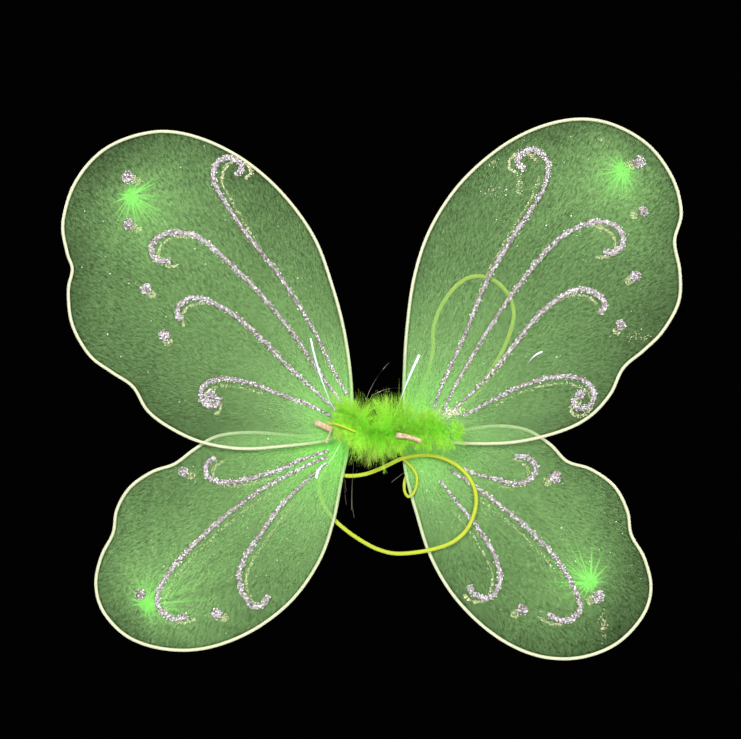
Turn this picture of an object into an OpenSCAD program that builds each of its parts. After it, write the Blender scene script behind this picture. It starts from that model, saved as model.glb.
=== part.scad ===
// Fairy wings: four sheer nylon wings on bent wire, tied at a fluffy centre, with two elastic shoulder loops.
// X runs across the wearer's back, Y from the decorated face (-Y) to the wearer (+Y), and Z up.
// The origin is the middle of the centre binding. All sizes are in millimetres.

/* [Wing wire and nylon] */
// Diameter of the wing wire
wire_d = 2.4; // [2:0.2:2.6]
// Distance from the middle plane to the plane of the upper or the lower wings
plane_y = 3.4; // [3.4:0.1:4]
// Thickness of the nylon pocket inside the wire
pocket_t = 2; // [1:0.2:2.2]
// Clearance between the pocket and the wire
pocket_gap = 0.2; // [0.1:0.1:0.5]

/* [Glitter glue] */
// Width of a glitter line
glue_w = 3.6; // [2:0.2:4]
// Height of the glitter above the nylon
glue_h = 0.8; // [0.4:0.1:1]
// Diameter of a glitter dot
dot_d = 8; // [6:0.5:9]

/* [Wing roots] */
// Distance from the middle to the axis that each wing fans about
fan_x = 22; // [21:0.5:24]
// Distance from the middle to the axis that each side flaps about
flap_x = 12; // [11:0.5:13]
// Diameter of the gathered nylon at the root of a wing
gather_d = 12; // [11:0.5:13]
// Thickness of the gathered nylon at the root of a wing
gather_t = 4.4; // [4:0.1:4.4]
// Diameter of the thread lashing through the two roots of a side
lashing_d = 4; // [3:0.5:5]
// Diameter of the wire link between the centre and a side
link_d = 1.6; // [1.2:0.1:1.6]
// Distance between the two bars of the wire link
link_h = 10.4; // [10:0.2:11]

/* [Centre] */
// Diameter of the twisted wires in the middle
spine_d = 4; // [3:0.5:5]
// Diameter of the thread binding over them
binding_d = 8; // [7:0.5:9]
// Length of the thread binding
binding_l = 15; // [12:0.5:16]

/* [Elastic and thread] */
// Diameter of the elastic of the shoulder loops
elastic_d = 3; // [2.5:0.1:3.2]
// Diameter of the short elastic tail and of the left stub
tail_d = 2.2; // [2:0.1:2.6]
// Diameter of the short thread windings on the elastic
winding_d = 4.8; // [4.2:0.1:5.2]

/* [Feather strip] */
// Radius of the fluff at the sides
fluff_r = 9.5; // [8:0.5:11]
// Distance of the side fluff's axis in front of the middle plane
fluff_y = 17.5; // [17:0.5:20]

/* [Hidden] */
$fn = 48;

// Sign of each side along X, and of each pair of wings along Y
LEFT = -1;
RIGHT = 1;
UPPER = -1;
LOWER = 1;
// Sides of a swept wire or cord, and rings between two points of its route
SWEEP_SIDES = 8;
WIRE_STEPS = 5;
CORD_STEPS = 2;
SWIRL_STEPS = 4;

WIRE_COLOUR = "#EAE8C8";
NYLON_COLOUR = "#8FD688";
GATHER_COLOUR = "#5CE04A";
GLITTER_COLOUR = "#D9D3DC";
THREAD_COLOUR = "#D9B9A0";
ELASTIC_COLOUR = "#D3E32A";
FLUFF_COLOUR = "#86DA1E";
TINSEL_COLOUR = "#C8D8E8";

// Wing outlines: the wire's route in X and Z, from one leg at the root round to the other
UPPER_LEFT_OUTLINE = [
    [-22, 4], [-20, 16], [-21, 42], [-26, 76], [-35, 110], [-49, 147], [-74, 181], [-105, 207],
    [-140, 223], [-172, 226], [-206, 214], [-229, 189], [-239, 158], [-236, 135], [-232, 122],
    [-235, 105], [-232, 80], [-219, 57], [-202, 44], [-186, 33], [-175, 15], [-158, 2],
    [-134, -9], [-104, -14], [-70, -12], [-40, -8], [-26, -2],
];
LOWER_LEFT_OUTLINE = [
    [-26, -1], [-40, -6], [-68, -4], [-98, -2], [-123, -5], [-140, -15], [-155, -26],
    [-172, -32], [-189, -44], [-199, -61], [-202, -79], [-211, -97], [-215, -118],
    [-209, -139], [-190, -158], [-162, -167], [-130, -166], [-96, -153], [-66, -130],
    [-45, -100], [-34, -69], [-28, -38], [-24, -20], [-22, -4],
];
UPPER_RIGHT_OUTLINE = [
    [22, 4], [20, 18], [20, 42], [22, 77], [28, 118], [41, 155], [65, 190], [100, 219],
    [137, 234], [171, 234], [203, 218], [223, 192], [230, 165], [225, 143], [229, 120],
    [228, 97], [216, 75], [201, 60], [186, 47], [176, 27], [160, 10], [138, -1], [104, -9],
    [67, -10], [42, -7], [26, -2],
];
LOWER_RIGHT_OUTLINE = [
    [26, -1], [40, -4], [60, -1], [89, 3], [113, 0], [131, -11], [144, -24], [162, -30],
    [180, -43], [190, -62], [193, -80], [203, -98], [208, -121], [201, -143], [180, -164],
    [150, -174], [118, -171], [87, -155], [59, -128], [40, -96], [29, -62], [22, -36],
    [20, -18], [22, -4],
];

// Glitter swirls: each line's middle in X and Z, from the root out to its curl
UPPER_LEFT_SWIRLS = [
    [[-23, 26], [-34, 46], [-50, 78], [-74, 116], [-102, 152], [-122, 183], [-125, 195], [-121, 204],
     [-113, 207], [-106, 204], [-103, 198], [-108, 193]],
    [[-27, 20], [-44, 43], [-63, 71], [-88, 102], [-114, 128], [-136, 146], [-151, 150], [-166, 147],
     [-172, 138], [-168, 129], [-157, 128]],
    [[-32, 15], [-50, 32], [-69, 49], [-88, 69], [-110, 88], [-134, 100], [-147, 98], [-152, 91], [-150, 83]],
    [[-34, 10], [-52, 19], [-74, 27], [-98, 36], [-120, 39], [-133, 33], [-133, 22], [-124, 18], [-120, 25]],
];
LOWER_LEFT_SWIRLS = [
    [[-38, -16], [-57, -22], [-77, -31], [-98, -37], [-116, -40], [-129, -36], [-131, -27], [-124, -21]],
    [[-38, -20], [-64, -32], [-91, -47], [-118, -67], [-142, -89], [-159, -108], [-168, -127], [-164, -139],
     [-154, -144], [-145, -141]],
    [[-39, -25], [-60, -44], [-76, -60], [-90, -80], [-103, -100], [-106, -115], [-99, -131], [-89, -134],
     [-83, -126]],
];
UPPER_RIGHT_SWIRLS = [
    [[42, 16], [50, 38], [64, 68], [84, 116], [104, 149], [124, 180], [129, 199], [125, 209], [116, 213],
     [108, 209], [106, 202], [111, 198]],
    [[49, 15], [65, 45], [86, 80], [113, 118], [136, 144], [156, 156], [171, 158], [183, 152], [186, 142],
     [180, 135], [171, 135]],
    [[57, 15], [76, 33], [96, 55], [116, 81], [138, 101], [155, 107], [167, 103], [172, 95], [168, 88]],
    [[65, 11], [86, 22], [110, 34], [138, 41], [155, 38], [164, 28], [160, 18], [150, 17], [148, 24]],
];
LOWER_RIGHT_SWIRLS = [
    [[65, -29], [76, -34], [92, -38], [107, -41], [118, -36], [120, -27], [112, -20], [104, -21]],
    [[55, -31], [70, -40], [90, -55], [113, -74], [134, -96], [147, -116], [154, -134], [149, -143],
     [139, -145], [129, -140]],
    [[47, -38], [60, -55], [74, -72], [87, -92], [93, -110], [89, -125], [80, -128], [72, -124], [70, -118]],
];

// Glitter dots: X, Z and how many times as wide as the usual dot
UPPER_LEFT_DOTS = [[-190, 192, 1.1], [-189, 156, 1], [-176, 107, 1], [-162, 72, 1.05], [-127, 26, 1.1]];
LOWER_LEFT_DOTS = [[-148, -32, 0.85], [-181, -125, 0.9], [-123, -140, 1]];
UPPER_RIGHT_DOTS = [[198, 203, 1.1], [201, 166, 0.9], [195, 117, 1], [184, 80, 0.95], [153, 27, 0.9]];
LOWER_RIGHT_DOTS = [[135, -36, 1.1], [110, -137, 1], [168, -127, 1.1]];

// Where the closed end of each nylon tube is gathered: X and Z
UPPER_LEFT_END = [-187.5, 178];
LOWER_LEFT_END = [-176.5, -133];
UPPER_RIGHT_END = [186, 197.5];
LOWER_RIGHT_END = [162, -116.5];

// Routes of the elastic, in X, Y and Z
LEFT_LOOP_ROUTE = [
    [-6, 7, -2], [-12, 8.5, -6], [-21, 8.5, -11], [-31, 8, -17], [-37, 7.5, -26], [-33, 7.5, -33],
    [-25, 7, -35], [-17, 6, -35], [-7, 4.5, -33], [5, 1.2, -28], [17, -2.3, -22], [26, -2.3, -20],
    [36, -1.6, -19], [48, -1, -21], [60, -0.8, -27], [69, -0.8, -36], [74, -0.8, -47],
    [74, -0.8, -60], [68, -0.8, -75], [57, -0.8, -85], [44, -0.8, -90], [29, -0.5, -93],
    [13, 1, -94], [0, 3, -91], [-12, 5, -85], [-24, 7, -77], [-34, 7.5, -68], [-42, 7.5, -56],
    [-45, 7.5, -42], [-41, 8, -29], [-30, 9, -14], [-18, 10, -3], [-6, 7, 2],
];
RIGHT_LOOP_ROUTE = [
    [22, 10, 2], [25, 9.5, 10], [29, 6, 20], [34, 2.5, 33], [39, 0.6, 48], [42, 0.4, 62],
    [42, 0.4, 76], [47, 0.4, 92], [57, 0.4, 107], [67, 0.4, 115], [77, 0.4, 117], [88, 0.4, 114],
    [97, 0.4, 106], [102, 0.4, 96], [103, 0.4, 84], [97, 0.4, 65], [86, 0.4, 45], [73, 0.4, 26],
    [59, 2, 15], [46, 5.5, 9], [34, 9, 4], [24, 10, 0],
];
TAIL_ROUTE = [
    [15.5, -12.5, -4], [15, -9.5, -8], [15.3, -5.5, -11.8], [16.6, -1.8, -15.4], [18.4, 0.3, -19.2],
    [20.2, 0.4, -22.9], [23.3, 0.5, -25.9], [27, 0.6, -30], [29.1, 0.6, -34.1], [29.7, 0.6, -38.2],
    [29.1, 0.6, -42.9], [27.7, 0.6, -46.6], [25.7, 0.5, -49.4], [23.3, 0.5, -50.7], [21.3, 1.2, -49],
    [20.2, 2.6, -45.9], [20, 4.2, -42.2], [20.5, 5.6, -38.7], [21.6, 6.4, -35.5],
];

// Tinsel strands: both ends in X, Y and Z
LEFT_STRANDS = [
    [[-33, -11, 9], [-46, -15, 71]], [[-24, -13, 10], [-50, -11, 44]], [[-26, -13, -3], [-46, -16, -35]],
    [[-28, -13, 2], [-52, -14, 18]], [[-25, -13, -2], [-24, -12, -46]],
];
CENTRE_STRANDS = [
    [[-10, -17, 20], [8, -19, 51]], [[-5, -17, 26], [17, -20, 32]], [[-16, -13, -6], [-20, -12, -60]],
];
RIGHT_STRANDS = [
    [[14, -15, 14], [31, -20, 57]], [[58, -16, 6], [125, -12, 60]], [[38, -15, 8], [46, -18, 52]],
    [[22, -13, -30], [10, -14, -39]],
];

// Ends of the thread windings, and of the elastic stub that leaves the left one
LEFT_WINDING = [[-48, -8.5, 6.5], [-34, -8.5, 0]];
LEFT_STUB = [[-38, -11, 6], [-17, -13, -1]];
RIGHT_WINDING = [[13, -25, -3], [33, -26, -8]];

// Profile of the fluff: the share of its radius along its length
FLUFF_PROFILE = [0.45, 0.8, 0.95, 0.85, 1, 0.9, 1, 0.85, 0.95, 0.75, 0.4];

// A point between b and c on a smooth curve through a, b, c and d
function curve_point(a, b, c, d, t) =
    (2 * b + (c - a) * t + (2 * a - 5 * b + 4 * c - d) * t * t + (3 * b - a - 3 * c + d) * t * t * t) / 2;

// The smooth curve through the points, with `steps` points for each of its stretches
function curve(points, steps) =
    let (last = len(points) - 1)
    [
        for (i = [0 : last - 1], s = [0 : steps - 1])
            curve_point(points[max(i - 1, 0)], points[i], points[i + 1], points[min(i + 2, last)], s / steps),
        points[last],
    ];

function unit(v) = v / norm(v);

// The direction of a line of points at point i
function heading(points, i) = unit(points[min(i + 1, len(points) - 1)] - points[max(i - 1, 0)]);

// A flat outline moved sideways to its left by a distance
function moved_left(points, distance) =
    [for (i = [0 : len(points) - 1]) let (h = heading(points, i)) points[i] + distance * [-h.y, h.x]];

// A flat ribbon's outline around its middle line, narrow where it starts and full from a third of its length
function ribbon(middle, width) =
    let (
        last = len(middle) - 1,
        half = [for (i = [0 : last]) width / 2 * min(1, 0.5 + 1.5 * i / last) * (i == last ? 0.7 : 1)],
        side = function (s, i) let (h = heading(middle, i)) middle[i] + s * half[i] * [-h.y, h.x]
    )
    [for (i = [0 : last]) side(1, i), for (i = [last : -1 : 0]) side(-1, i)];

// A route in X and Z laid in the plane at y
function in_plane(route, y) = [for (p = route) [p.x, y, p.y]];

// A round tube swept along a route that never runs along Y
module swept_tube(route, d) {
    rings = len(route);
    points = [
        for (i = [0 : rings - 1])
            let (h = heading(route, i), b = unit([0, 1, 0] - h.y * h), n = cross(b, h))
            for (k = [0 : SWEEP_SIDES - 1])
                let (a = 360 * k / SWEEP_SIDES) route[i] + d / 2 * (cos(a) * n + sin(a) * b),
    ];
    sides = [
        for (i = [0 : rings - 2], k = [0 : SWEEP_SIDES - 1])
            let (j = (k + 1) % SWEEP_SIDES, here = i * SWEEP_SIDES, next = here + SWEEP_SIDES)
            [here + k, here + j, next + j, next + k],
    ];
    start = [for (k = [SWEEP_SIDES - 1 : -1 : 0]) k];
    end = [for (k = [0 : SWEEP_SIDES - 1]) (rings - 1) * SWEEP_SIDES + k];
    polyhedron(points, concat([start], sides, [end]), convexity = 10);
}

// A round rod between two points
module rod(ends, d) {
    along = ends[1] - ends[0];
    length = norm(along);
    translate(ends[0])
        rotate([0, acos(along.z / length), atan2(along.y, along.x)])
            cylinder(d = d, h = length);
}

// A plate of a flat X-Z outline, from y_back forwards by its thickness
module plate(outline, y_back, thickness) {
    translate([0, y_back, 0]) rotate([90, 0, 0]) linear_extrude(thickness) polygon(outline);
}

// Turns a solid built along +Z so that it stands on a wing at X and Z and points to +Y
module on_wing(place, y) {
    translate([place.x, y, place.y]) rotate([-90, 0, 0]) children();
}

module wing_wire(outline, level) {
    color(WIRE_COLOUR) swept_tube(in_plane(curve(outline, WIRE_STEPS), level * plane_y), wire_d);
}

module wing_nylon(outline, side, level) {
    inside = moved_left(curve(outline, WIRE_STEPS), -side * (wire_d / 2 + pocket_gap));
    color(NYLON_COLOUR, 0.5) difference() {
        plate(inside, level * plane_y + pocket_t / 2, pocket_t);
        translate([side * fan_x, level * plane_y - pocket_t, 0]) rotate([-90, 0, 0])
            cylinder(d = gather_d + 2 * pocket_gap, h = 2 * pocket_t);
    }
}

module wing_swirls(swirls, level) {
    color(GLITTER_COLOUR) for (middle = swirls)
        plate(ribbon(curve(middle, SWIRL_STEPS), glue_w), level * plane_y - pocket_t / 2, glue_h);
}

module wing_dots(dots, level) {
    front = level * plane_y - pocket_t / 2;
    dot_r = dot_d / 2;
    profile = [[0, 0], [dot_r, 0], [0.9 * dot_r, 0.6 * glue_h], [0.6 * dot_r, glue_h], [0, glue_h]];
    color(GLITTER_COLOUR) for (dot = dots)
        translate([dot.x, front, dot.y]) rotate([90, 0, 0]) rotate_extrude()
            polygon(profile * [[dot[2], 0], [0, 1]]);
}

module root_gather(side, level) {
    color(GATHER_COLOUR)
        translate([side * fan_x, level * plane_y - gather_t / 2, 0]) rotate([-90, 0, 0]) difference() {
            cylinder(d = gather_d, h = gather_t);
            translate([0, 0, -1]) cylinder(d = lashing_d + 0.2, h = gather_t + 2);
        }
}

module end_gather(place, level) {
    color(GATHER_COLOUR) on_wing(place, level * plane_y + pocket_t / 2) rotate_extrude()
        polygon([[0, 0], [4.5, 0], [2.2, 1.4], [1.6, 2.6], [1.6, 3.8], [3, 5.4], [3.4, 6.2], [0, 6.2]]);
}

module end_tie(place, level) {
    color(THREAD_COLOUR) on_wing(place, level * plane_y + pocket_t / 2 + 2.7)
        difference() {
            cylinder(d = 4.6, h = 1);
            translate([0, 0, -1]) cylinder(d = 3.2, h = 3);
        }
}

// The wire link: one bar turns in the spine's eye, and the other is held in the lashing
module link(side) {
    corners = [for (x = [flap_x, fan_x], z = [-1, 1]) [side * x, 0, z * link_h / 2]];
    color("#C9C4A8") {
        for (pair = [[0, 1], [2, 3], [0, 2], [1, 3]]) rod([corners[pair[0]], corners[pair[1]]], link_d);
        for (corner = corners) translate(corner) sphere(d = link_d);
    }
}

// The lashing: a thread column through both roots, with a flat thread button at each end
module lashing(side) {
    button_y = plane_y + gather_t / 2 + 0.4;
    color(THREAD_COLOUR) translate([side * fan_x, 0, 0]) rotate([-90, 0, 0]) {
        translate([0, 0, -button_y - 0.5]) cylinder(d = lashing_d, h = 2 * button_y + 1);
        for (z = [-button_y - 1.2, button_y]) translate([0, 0, z]) cylinder(d = 2 * lashing_d, h = 1.2);
    }
}

// Twisted wires with a round eye at each end for the links
module spine() {
    color(WIRE_COLOUR) {
        difference() {
            union() {
                rod([[-flap_x + 1, 0, 0], [flap_x - 1, 0, 0]], spine_d);
                for (s = [LEFT, RIGHT]) translate([s * flap_x, 0, -3.4]) cylinder(d = 6.4, h = 6.8);
            }
            for (s = [LEFT, RIGHT]) translate([s * flap_x, 0, -5]) cylinder(d = link_d + 0.1, h = 10);
        }
    }
}

module binding() {
    color(THREAD_COLOUR) difference() {
        rod([[-binding_l / 2, 0, 0], [binding_l / 2, 0, 0]], binding_d);
        rod([[-binding_l, 0, 0], [binding_l, 0, 0]], spine_d);
    }
}

module loop_knot(place) {
    color(ELASTIC_COLOUR) translate(place) rotate([-90, 0, 0]) cylinder(d = 7, h = 4.5);
}

// A spindle of fluff along X, hollow if it has a bore
module fluff(x_start, x_end, y, z, radius, bore_d) {
    last = len(FLUFF_PROFILE) - 1;
    step = (x_end - x_start) / last;
    color(FLUFF_COLOUR) translate([x_start, y, z]) rotate([0, 90, 0]) rotate_extrude()
        polygon([
            [bore_d / 2, 0],
            for (i = [0 : last]) [radius * FLUFF_PROFILE[i], i * step],
            [bore_d / 2, x_end - x_start],
        ]);
}

module strands(list) {
    color(TINSEL_COLOUR) for (ends = list) rod(ends, 0.8);
}

wing_wire(UPPER_LEFT_OUTLINE, UPPER);  // upper_left_wire
wing_nylon(UPPER_LEFT_OUTLINE, LEFT, UPPER);  // upper_left_nylon
wing_swirls(UPPER_LEFT_SWIRLS, UPPER);  // upper_left_swirls
wing_dots(UPPER_LEFT_DOTS, UPPER);  // upper_left_dots
root_gather(LEFT, UPPER);  // upper_left_root_gather
end_gather(UPPER_LEFT_END, UPPER);  // upper_left_end_gather
end_tie(UPPER_LEFT_END, UPPER);  // upper_left_end_tie

wing_wire(LOWER_LEFT_OUTLINE, LOWER);  // lower_left_wire
wing_nylon(LOWER_LEFT_OUTLINE, LEFT, LOWER);  // lower_left_nylon
wing_swirls(LOWER_LEFT_SWIRLS, LOWER);  // lower_left_swirls
wing_dots(LOWER_LEFT_DOTS, LOWER);  // lower_left_dots
root_gather(LEFT, LOWER);  // lower_left_root_gather
end_gather(LOWER_LEFT_END, LOWER);  // lower_left_end_gather
end_tie(LOWER_LEFT_END, LOWER);  // lower_left_end_tie

wing_wire(UPPER_RIGHT_OUTLINE, UPPER);  // upper_right_wire
wing_nylon(UPPER_RIGHT_OUTLINE, RIGHT, UPPER);  // upper_right_nylon
wing_swirls(UPPER_RIGHT_SWIRLS, UPPER);  // upper_right_swirls
wing_dots(UPPER_RIGHT_DOTS, UPPER);  // upper_right_dots
root_gather(RIGHT, UPPER);  // upper_right_root_gather
end_gather(UPPER_RIGHT_END, UPPER);  // upper_right_end_gather
end_tie(UPPER_RIGHT_END, UPPER);  // upper_right_end_tie

wing_wire(LOWER_RIGHT_OUTLINE, LOWER);  // lower_right_wire
wing_nylon(LOWER_RIGHT_OUTLINE, RIGHT, LOWER);  // lower_right_nylon
wing_swirls(LOWER_RIGHT_SWIRLS, LOWER);  // lower_right_swirls
wing_dots(LOWER_RIGHT_DOTS, LOWER);  // lower_right_dots
root_gather(RIGHT, LOWER);  // lower_right_root_gather
end_gather(LOWER_RIGHT_END, LOWER);  // lower_right_end_gather
end_tie(LOWER_RIGHT_END, LOWER);  // lower_right_end_tie

link(LEFT);  // left_link
lashing(LEFT);  // left_lashing
color(THREAD_COLOUR) rod(LEFT_WINDING, winding_d);  // left_winding
color(ELASTIC_COLOUR) rod(LEFT_STUB, tail_d);  // left_elastic_stub
link(RIGHT);  // right_link
lashing(RIGHT);  // right_lashing
color(THREAD_COLOUR) rod(RIGHT_WINDING, winding_d);  // right_winding
loop_knot([fan_x, 7.2, 0]);  // right_loop_knot

spine();  // centre_spine
binding();  // centre_binding
loop_knot([-4, 3.6, 0]);  // left_loop_knot

fluff(-31, -13, -fluff_y, 2, fluff_r, 0);  // marabou_left
fluff(-8, 8, 0, 0, 16, binding_d + 0.4);  // marabou_centre
fluff(15, 63, -fluff_y, -2, fluff_r, 0);  // marabou_right

strands(LEFT_STRANDS);  // tinsel_left
strands(CENTRE_STRANDS);  // tinsel_centre
strands(RIGHT_STRANDS);  // tinsel_right

color(ELASTIC_COLOUR) swept_tube(curve(LEFT_LOOP_ROUTE, CORD_STEPS), elastic_d);  // left_shoulder_loop
color(ELASTIC_COLOUR) swept_tube(curve(RIGHT_LOOP_ROUTE, CORD_STEPS), elastic_d);  // right_shoulder_loop
color(ELASTIC_COLOUR) swept_tube(curve(TAIL_ROUTE, CORD_STEPS), tail_d);  // elastic_tail
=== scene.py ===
"""Fairy wings: sheer nylon on bent wire, glitter glue scrolls, a marabou centre and elastic shoulder loops.

Everything is in metres in the frame of the CAD model: X across the back, -Y the decorated face, Z up.
"""
import random
from functools import reduce
from math import atan2, cos, exp, pi, sin, sqrt, tanh

import bmesh
import bpy
import numpy as np
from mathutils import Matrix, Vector, geometry, noise


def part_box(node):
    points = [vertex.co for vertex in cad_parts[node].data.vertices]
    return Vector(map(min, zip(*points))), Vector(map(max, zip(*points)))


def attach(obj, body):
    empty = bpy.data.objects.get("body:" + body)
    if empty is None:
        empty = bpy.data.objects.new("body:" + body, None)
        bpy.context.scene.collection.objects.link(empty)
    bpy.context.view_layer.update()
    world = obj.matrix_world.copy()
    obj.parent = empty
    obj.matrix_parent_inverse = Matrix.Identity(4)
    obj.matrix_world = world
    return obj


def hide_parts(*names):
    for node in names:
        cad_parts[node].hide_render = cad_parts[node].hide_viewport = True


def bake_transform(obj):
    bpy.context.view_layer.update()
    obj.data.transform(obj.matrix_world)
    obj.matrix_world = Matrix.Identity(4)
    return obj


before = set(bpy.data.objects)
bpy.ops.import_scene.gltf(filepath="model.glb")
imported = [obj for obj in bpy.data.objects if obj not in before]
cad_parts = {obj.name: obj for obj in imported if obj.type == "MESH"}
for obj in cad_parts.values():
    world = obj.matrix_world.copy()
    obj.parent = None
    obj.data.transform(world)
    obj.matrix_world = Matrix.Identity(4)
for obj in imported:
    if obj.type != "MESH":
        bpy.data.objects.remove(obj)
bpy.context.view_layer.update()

MM = 0.001
FRONT, BACK = -1, 1
# Each wing, with how far its pleats reach in millimetres, how close its knit stays where it is stretched, and
# how bright a green its root is
WINGS = {
    "upper_left": (31, 0.86, 0.66),
    "lower_left": (46, 0.96, 0.95),
    "upper_right": (24, 0.9, 0.68),
    "lower_right": (34, 0.74, 0.68),
}


# ---------------------------------------------------------------- camera, floor and light

VIEW_SPAN = 0.5635  # how wide the picture is at the wings
VIEW_X, VIEW_Z = -0.0057, 0.046  # what the middle of the picture looks at
LENS, SENSOR = 100.0, 36.0
FLOOR_Z, FLOOR_R = -0.42, 0.9
LIGHT_AIM = (0, 0, 0.03)
LIGHTS = {  # place and size in metres, and power in watts
    "key": ((-0.8, -2.2, 1.0), 1.1, 66),
    "fill": ((1.1, -2.2, 0.4), 1.2, 50),
    "top": ((0.1, -0.5, 1.9), 1.0, 16),
    "back_left": ((-1.5, 1.5, 0.9), 1.2, 30),
    "back_right": ((1.5, 1.6, 0.6), 1.2, 26),
}
WORLD_TONE = 0.0006


def new_object(name, data):
    thing = bpy.data.objects.new(name, data)
    bpy.context.scene.collection.objects.link(thing)
    return thing


def make_camera():
    data = bpy.data.cameras.new("camera")
    data.lens, data.sensor_width = LENS, SENSOR
    camera = new_object("camera", data)
    camera.location = (VIEW_X, -VIEW_SPAN * LENS / SENSOR, VIEW_Z)
    camera.rotation_euler = (pi / 2, 0, 0)
    bpy.context.scene.camera = camera


def make_lights():
    """Soft boxes that face the middle of the wings, in a nearly black room."""
    bpy.context.scene.view_settings.view_transform = "Standard"
    for name, (place_at, size, watts) in LIGHTS.items():
        data = bpy.data.lights.new(name, "AREA")
        data.shape, data.size, data.energy = "DISK", size, watts
        lamp = new_object(name, data)
        lamp.location = place_at
        lamp.rotation_mode = "QUATERNION"
        lamp.rotation_quaternion = (Vector(LIGHT_AIM) - Vector(place_at)).to_track_quat("-Z", "Y")
        lamp.visible_camera = False
    world = bpy.data.worlds.new("studio")
    world.use_nodes = True
    background = world.node_tree.nodes["Background"]
    background.inputs["Color"].default_value = (WORLD_TONE, WORLD_TONE, WORLD_TONE, 1)
    bpy.context.scene.world = world


# ---------------------------------------------------------------- small tools


def clamp(value, low=0, high=1):
    return min(high, max(low, value))


def lengths(vectors):
    return np.linalg.norm(vectors, axis=1)


def smooth_route(points, steps):
    """A Catmull-Rom curve through points, with `steps` points for each stretch."""
    p = np.array(points, float)
    ends = np.vstack([p[:1], p, p[-1:]])
    out = []
    for i in range(len(p) - 1):
        a, b, c, d = ends[i : i + 4]
        for t in np.arange(steps) / steps:
            square, cube = 2 * a - 5 * b + 4 * c - d, 3 * b - a - 3 * c + d
            out.append((2 * b + (c - a) * t + square * t**2 + cube * t**3) / 2)
    return np.array(out + [p[-1]])


def route_length(points):
    return float(lengths(np.diff(points, axis=0)).sum())


def headings(points):
    h = np.gradient(points, axis=0)
    return h / lengths(h)[:, None]


def steps_along(points):
    """How far along a route each of its points is."""
    return np.concatenate([[0], np.cumsum(lengths(np.diff(points, axis=0)))])


def grid(rows, across, first=0, closed=False, ring=False):
    """Faces between rows of points: closed joins the ends of each row, and ring the last row to the first."""
    return [
        (first + i * across + k, first + i * across + (k + 1) % across,
         first + (i + 1) % rows * across + (k + 1) % across, first + (i + 1) % rows * across + k)
        for i in range(rows if ring else rows - 1) for k in range(across if closed else across - 1)
    ]


def tube(route, radius, sides):
    """The shape of a round tube. UVs are in millimetres: round it, and along it."""
    route = np.array(route)
    radius = np.broadcast_to(radius, len(route))
    h = headings(route)
    side = np.cross(h[0], (0.31, 0.89, 0.33))
    verts = []
    for i in range(len(route)):
        side = side - h[i] * side.dot(h[i])
        side /= np.linalg.norm(side)
        up = np.cross(h[i], side)
        for a in np.arange(sides) * 2 * pi / sides:
            verts.append(route[i] + radius[i] * (cos(a) * side + sin(a) * up))
    along = steps_along(route) / MM
    round_mm = 2 * pi * radius.max() / MM / sides
    uvs = []
    for i in range(len(route) - 1):
        for k in range(sides):
            u0, u1 = k * round_mm, (k + 1) * round_mm
            uvs += [(u0, along[i]), (u1, along[i]), (u1, along[i + 1]), (u0, along[i + 1])]
    caps = [tuple(range(sides))[::-1], tuple(range(len(verts) - sides, len(verts)))]
    uvs += [(0, along[0])] * sides + [(0, along[-1])] * sides
    return verts, grid(len(route), sides, closed=True) + caps, uvs


def join(parts):
    """One shape out of several."""
    verts, faces, uvs = [], [], []
    for part_verts, part_faces, part_uvs in parts:
        start = len(verts)
        verts += list(part_verts)
        faces += [tuple(start + i for i in face) for face in part_faces]
        uvs += list(part_uvs)
    return verts, faces, uvs


def new_piece(name, shape, material, tints=(), smooth=True, fix=False):
    """A mesh object from a shape: its vertices, its faces and one UV pair for each face corner, or no UVs.

    tints holds one colour for each vertex, and fix turns every face outwards.
    """
    verts, faces, uvs = shape
    mesh = bpy.data.meshes.new(name)
    mesh.from_pydata([tuple(v) for v in verts], [], faces)
    mesh.polygons.foreach_set("use_smooth", [smooth] * len(mesh.polygons))
    if uvs:
        mesh.uv_layers.new(name="UVMap").data.foreach_set("uv", np.array(uvs, "f").ravel())
    if tints:
        tint = mesh.color_attributes.new("tint", "FLOAT_COLOR", "POINT")
        tint.data.foreach_set("color", np.array(tints, "f").ravel())
    mesh.materials.append(material)
    if fix:
        work = bmesh.new()
        work.from_mesh(mesh)
        bmesh.ops.recalc_face_normals(work, faces=work.faces)
        work.to_mesh(mesh)
    return new_object(name, mesh)


def put(name, shape, material, body, nodes=(), slot=None, **looks):
    """A new piece that rides on a body and stands for CAD nodes. slot is not used."""
    piece = new_piece(name, shape, material, **looks)
    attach(piece, body)
    if nodes:
        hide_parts(*nodes)
    return piece


# ---------------------------------------------------------------- reading the CAD nodes


def cad_mesh(node):
    mesh = bmesh.new()
    mesh.from_mesh(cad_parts[node].data)
    bmesh.ops.remove_doubles(mesh, verts=mesh.verts, dist=1e-6)
    return mesh


def cad_box(node):
    """The lowest and the highest corner of a CAD node."""
    return [np.array(corner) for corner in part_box(node)]


def middle_half(node):
    """The middle of a CAD node's box and half its size."""
    low, high = cad_box(node)
    return (low + high) / 2, (high - low) / 2


def chain(start, mates):
    """Walks from start through mates, a function from a vertex to its neighbours on the line."""
    line, last = [start], None
    while True:
        ahead = [v for v in mates(line[-1]) if v is not last and v is not start]
        if not ahead:
            return line
        last = line[-1]
        line.append(ahead[0])


def wire_line(wing):
    """The middle line of a wing's wire in X and Z, from the leg nearest the middle of the pair of wings."""
    mesh = cad_mesh(f"{wing}_wire")
    top = max(v.co.y for v in mesh.verts)
    line = {v for v in mesh.verts if v.co.y > top - 1e-5}

    def mates(v):
        return [e.other_vert(v) for e in v.link_edges if e.other_vert(v) in line]

    start = max((v for v in line if len(mates(v)) == 1), key=lambda v: abs(v.co.z))
    return np.array([(v.co.x, v.co.z) for v in chain(start, mates)])


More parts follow.
